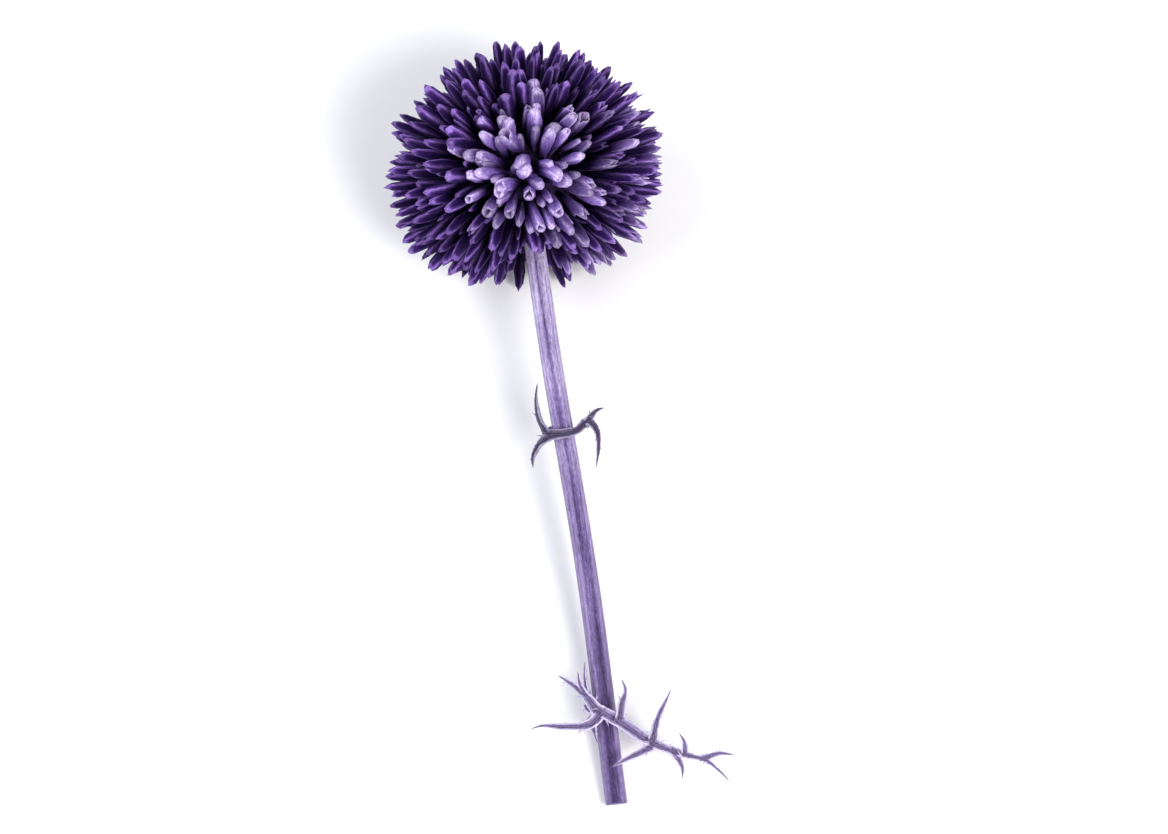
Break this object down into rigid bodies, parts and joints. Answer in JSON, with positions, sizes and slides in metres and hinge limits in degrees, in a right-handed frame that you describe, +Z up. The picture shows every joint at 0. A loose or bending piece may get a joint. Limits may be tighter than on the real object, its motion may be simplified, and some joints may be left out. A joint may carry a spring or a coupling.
{
  "type": "dried thistle flower head",
  "caption": "Dried dyed globe thistle: a round, spiny flower head on a ribbed cut stem with thorny leaves, lying on a surface.",
  "frame": {"origin": "middle of the footprint of the plant's box, on the surface it lies on", "axes": "+Y along the lying stem towards the flower head, +Z up from the surface"},
  "size_m": [0.05, 0.135, 0.0461],
  "materials": {
    "floret_violet": "dry and papery, dyed violet, paler at the tips",
    "stem_lavender": "dry, finely ribbed and downy, dyed lavender",
    "leaf_mauve": "dry and dull, grey-violet with paler edges"
  },
  "bodies": {
    "root": {"flower_head": "floret_violet", "stem": "stem_lavender", "small_leaf": "leaf_mauve", "large_leaf": "leaf_mauve"}
  },
  "joints": []
}
